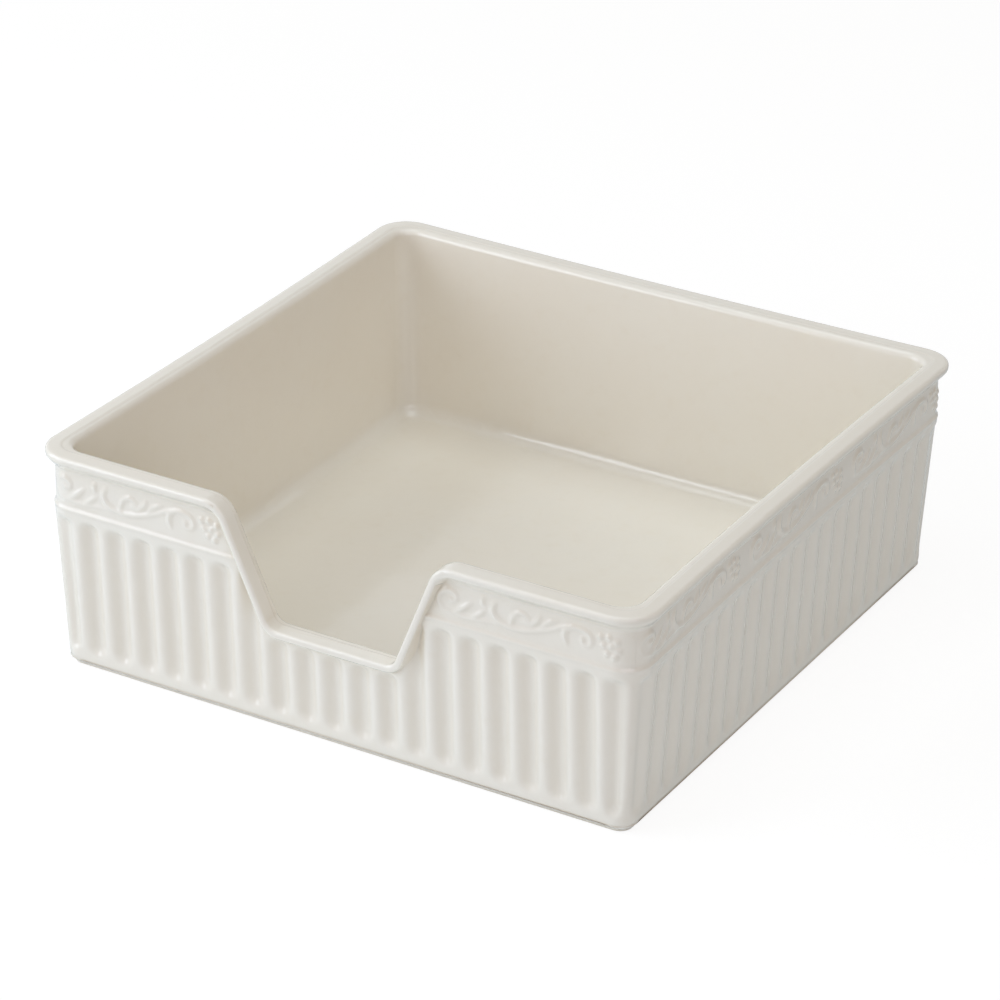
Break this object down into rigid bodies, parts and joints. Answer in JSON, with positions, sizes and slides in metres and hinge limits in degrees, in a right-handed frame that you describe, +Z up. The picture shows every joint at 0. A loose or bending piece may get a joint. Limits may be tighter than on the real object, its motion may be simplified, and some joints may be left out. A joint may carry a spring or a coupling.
{
  "type": "napkin holder",
  "caption": "Square napkin holder of glazed stoneware: an open tray with fluted walls, a frieze under a rolled rim and a flared finger notch in the front wall.",
  "frame": {"origin": "on the table, under the middle of the tray", "axes": "+Z up; the finger notch faces -Y; +X to the right as seen from the front"},
  "size_m": [0.1904, 0.1904, 0.067],
  "materials": {
    "glaze": "glossy cream-white glaze, bare foot ring"
  },
  "bodies": {
    "root": {"tray": "glaze"}
  },
  "joints": []
}
